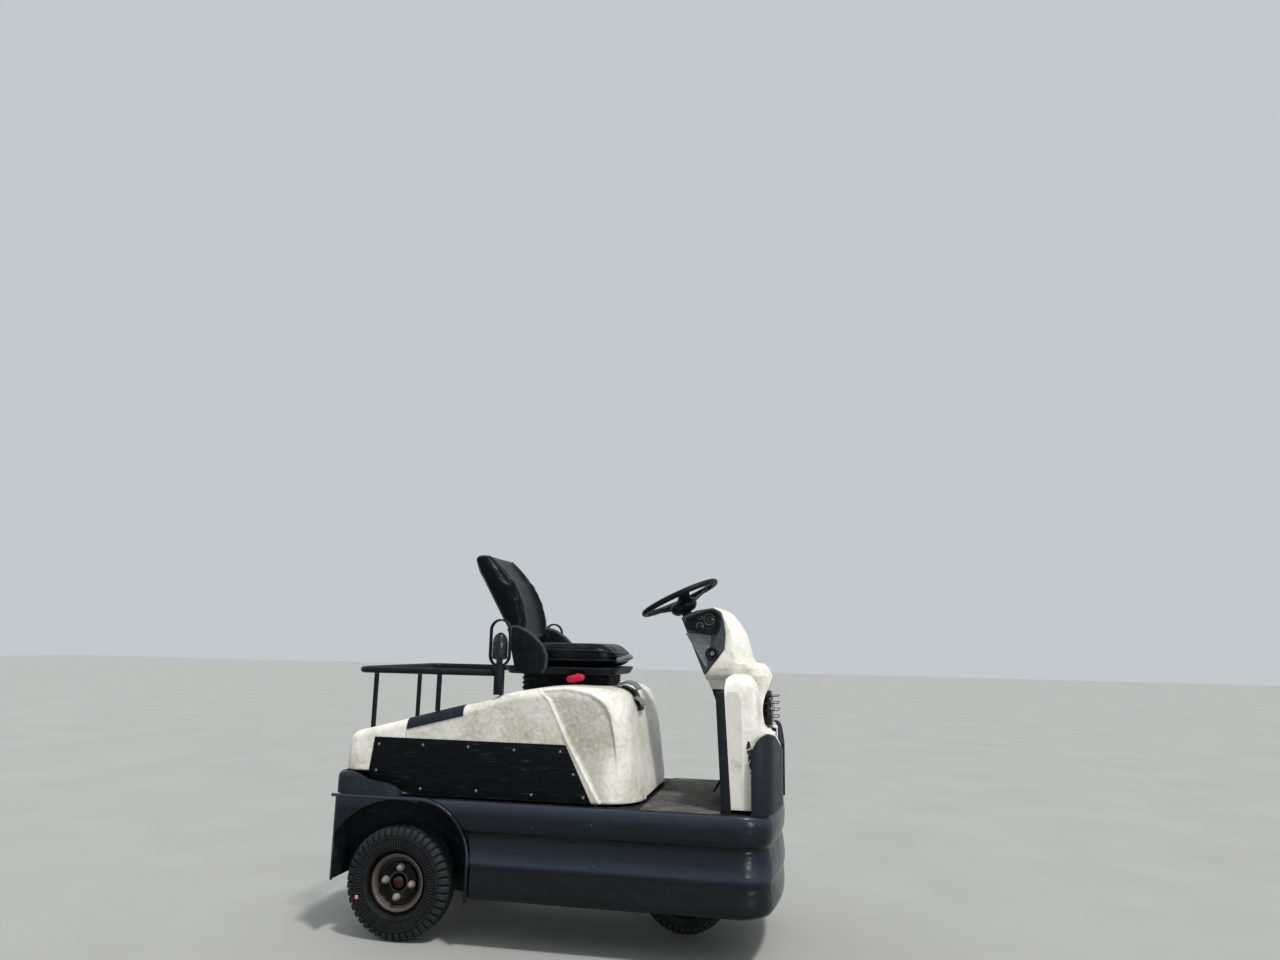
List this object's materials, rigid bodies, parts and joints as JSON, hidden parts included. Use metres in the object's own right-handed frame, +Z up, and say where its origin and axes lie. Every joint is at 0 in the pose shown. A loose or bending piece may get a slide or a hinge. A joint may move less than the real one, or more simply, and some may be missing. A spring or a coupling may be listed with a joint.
{
  "type": "electric airport baggage tug",
  "caption": "Small electric tow tractor with a ribbed skirt, tilting seat hood, front cowl with steering column, luggage rail and a rear drop-pin coupling.",
  "frame": {"origin": "on the floor under the middle of the overall length, in the middle plane", "axes": "+X to the front of the tug, +Y to its left, +Z up"},
  "size_m": [2.053, 0.96, 1.6553],
  "materials": {
    "chassis_black": "black chassis paint, dusty",
    "skirt_gloss": "dark blue-grey gloss enamel",
    "shoulder_rubber": "moulded dark bumper",
    "floor_mat": "worn ribbed rubber",
    "cast_axle": "oily casting",
    "motor_paint": "satin",
    "battery_case": "satin, lead-acid traction battery",
    "coupling_steel": "worn cast steel",
    "pin_steel": "bare worn steel",
    "cover_white": "off-white glass-fibre moulding, scuffed and grimy",
    "lining_dark": "textured dark lining",
    "shield_grey": "satin dark blue-grey moulding",
    "lamp_black": "black lamp shell with a clear lens",
    "guard_wire": "black wire",
    "pod_grey": "textured grey moulding",
    "gauge_black": "black instrument with a clear window",
    "wheel_black": "hard grained black grip",
    "panel_black": "scratched black screwed panel",
    "rail_black": "black powder coat",
    "lamp_red": "faded red lens",
    "seat_frame": "black suspension with rubber bellows",
    "seat_vinyl": "black grained vinyl",
    "lever_red": "red moulded lever",
    "latch_black": "dark latch plate",
    "tyre_rubber": "dusty worn rubber",
    "rim_rust": "rusty steel with old paint",
    "axle_steel": "turned steel"
  },
  "bodies": {
    "chassis": {"chassis_frame": "chassis_black", "skirt": "skirt_gloss", "fender_right": "skirt_gloss", "fender_left": "skirt_gloss", "rear_shoulder": "shoulder_rubber", "platform_mat": "floor_mat", "drive_axle": "cast_axle", "traction_motor": "motor_paint", "battery_pack": "battery_case", "tow_coupling": "coupling_steel", "front_cowl": "cover_white", "steering_tower": "cover_white", "cowl_lining": "lining_dark", "corner_shield_right": "shield_grey", "corner_shield_left": "shield_grey", "headlamp": "lamp_black", "headlamp_guard": "guard_wire", "instrument_pod": "pod_grey", "gauge_cluster": "gauge_black", "steering_column": "wheel_black", "pedals": "lining_dark"},
    "coupling_pin": {"coupling_pin": "pin_steel"},
    "seat_hood": {"hood": "cover_white", "rear_deck_cover": "cover_white", "hood_hinge": "chassis_black", "side_panel_right": "panel_black", "side_panel_left": "panel_black", "luggage_rail": "rail_black", "lamp_post_right": "rail_black", "lamp_post_left": "rail_black", "rear_lamp_right": "lamp_red", "rear_lamp_left": "lamp_red", "seat_suspension": "seat_frame", "seat_pan": "seat_frame", "seat_cushion": "seat_vinyl", "seat_backrest": "seat_vinyl", "hip_restraint_right": "seat_vinyl", "hip_restraint_left": "seat_vinyl", "seat_lever": "lever_red", "hood_latch": "latch_black"},
    "fork": {"steering_fork": "chassis_black", "front_axle": "axle_steel"},
    "front_wheel": {"front_tyre": "tyre_rubber", "front_rim": "rim_rust"},
    "rear_wheel_right": {"rear_tyre_right": "tyre_rubber", "rear_rim_right": "rim_rust"},
    "rear_wheel_left": {"rear_tyre_left": "tyre_rubber", "rear_rim_left": "rim_rust"},
    "steering_wheel": {"steering_wheel": "wheel_black"}
  },
  "joints": [
    {"name": "rear_right_spin", "type": "hinge", "parent": "chassis", "child": "rear_wheel_right", "pos_m": [-0.5915, -0.389, 0.231], "axis": [0, 1, 0], "continuous": true},
    {"name": "rear_left_spin", "type": "hinge", "parent": "chassis", "child": "rear_wheel_left", "pos_m": [-0.5915, 0.389, 0.231], "axis": [0, 1, 0], "continuous": true},
    {"name": "fork_steer", "type": "hinge", "parent": "chassis", "child": "fork", "pos_m": [0.5865, 0, 0.542], "axis": [0, 0, 1], "range_deg": [-75, 75]},
    {"name": "front_spin", "type": "hinge", "parent": "fork", "child": "front_wheel", "pos_m": [0.5865, 0, 0.203], "axis": [0, 1, 0], "continuous": true},
    {"name": "steering_turn", "type": "hinge", "parent": "chassis", "child": "steering_wheel", "pos_m": [0.5445, 0, 1.466], "axis": [-0.4305, 0, 0.9026], "continuous": true},
    {"name": "hood_tilt", "type": "hinge", "parent": "chassis", "child": "seat_hood", "pos_m": [-0.8985, 0, 0.694], "axis": [0, -1, 0], "range_deg": [0, 45]},
    {"name": "pin_lift", "type": "slide", "parent": "chassis", "child": "coupling_pin", "axis": [0, 0, 1], "range_m": [0, 0.14]}
  ]
}
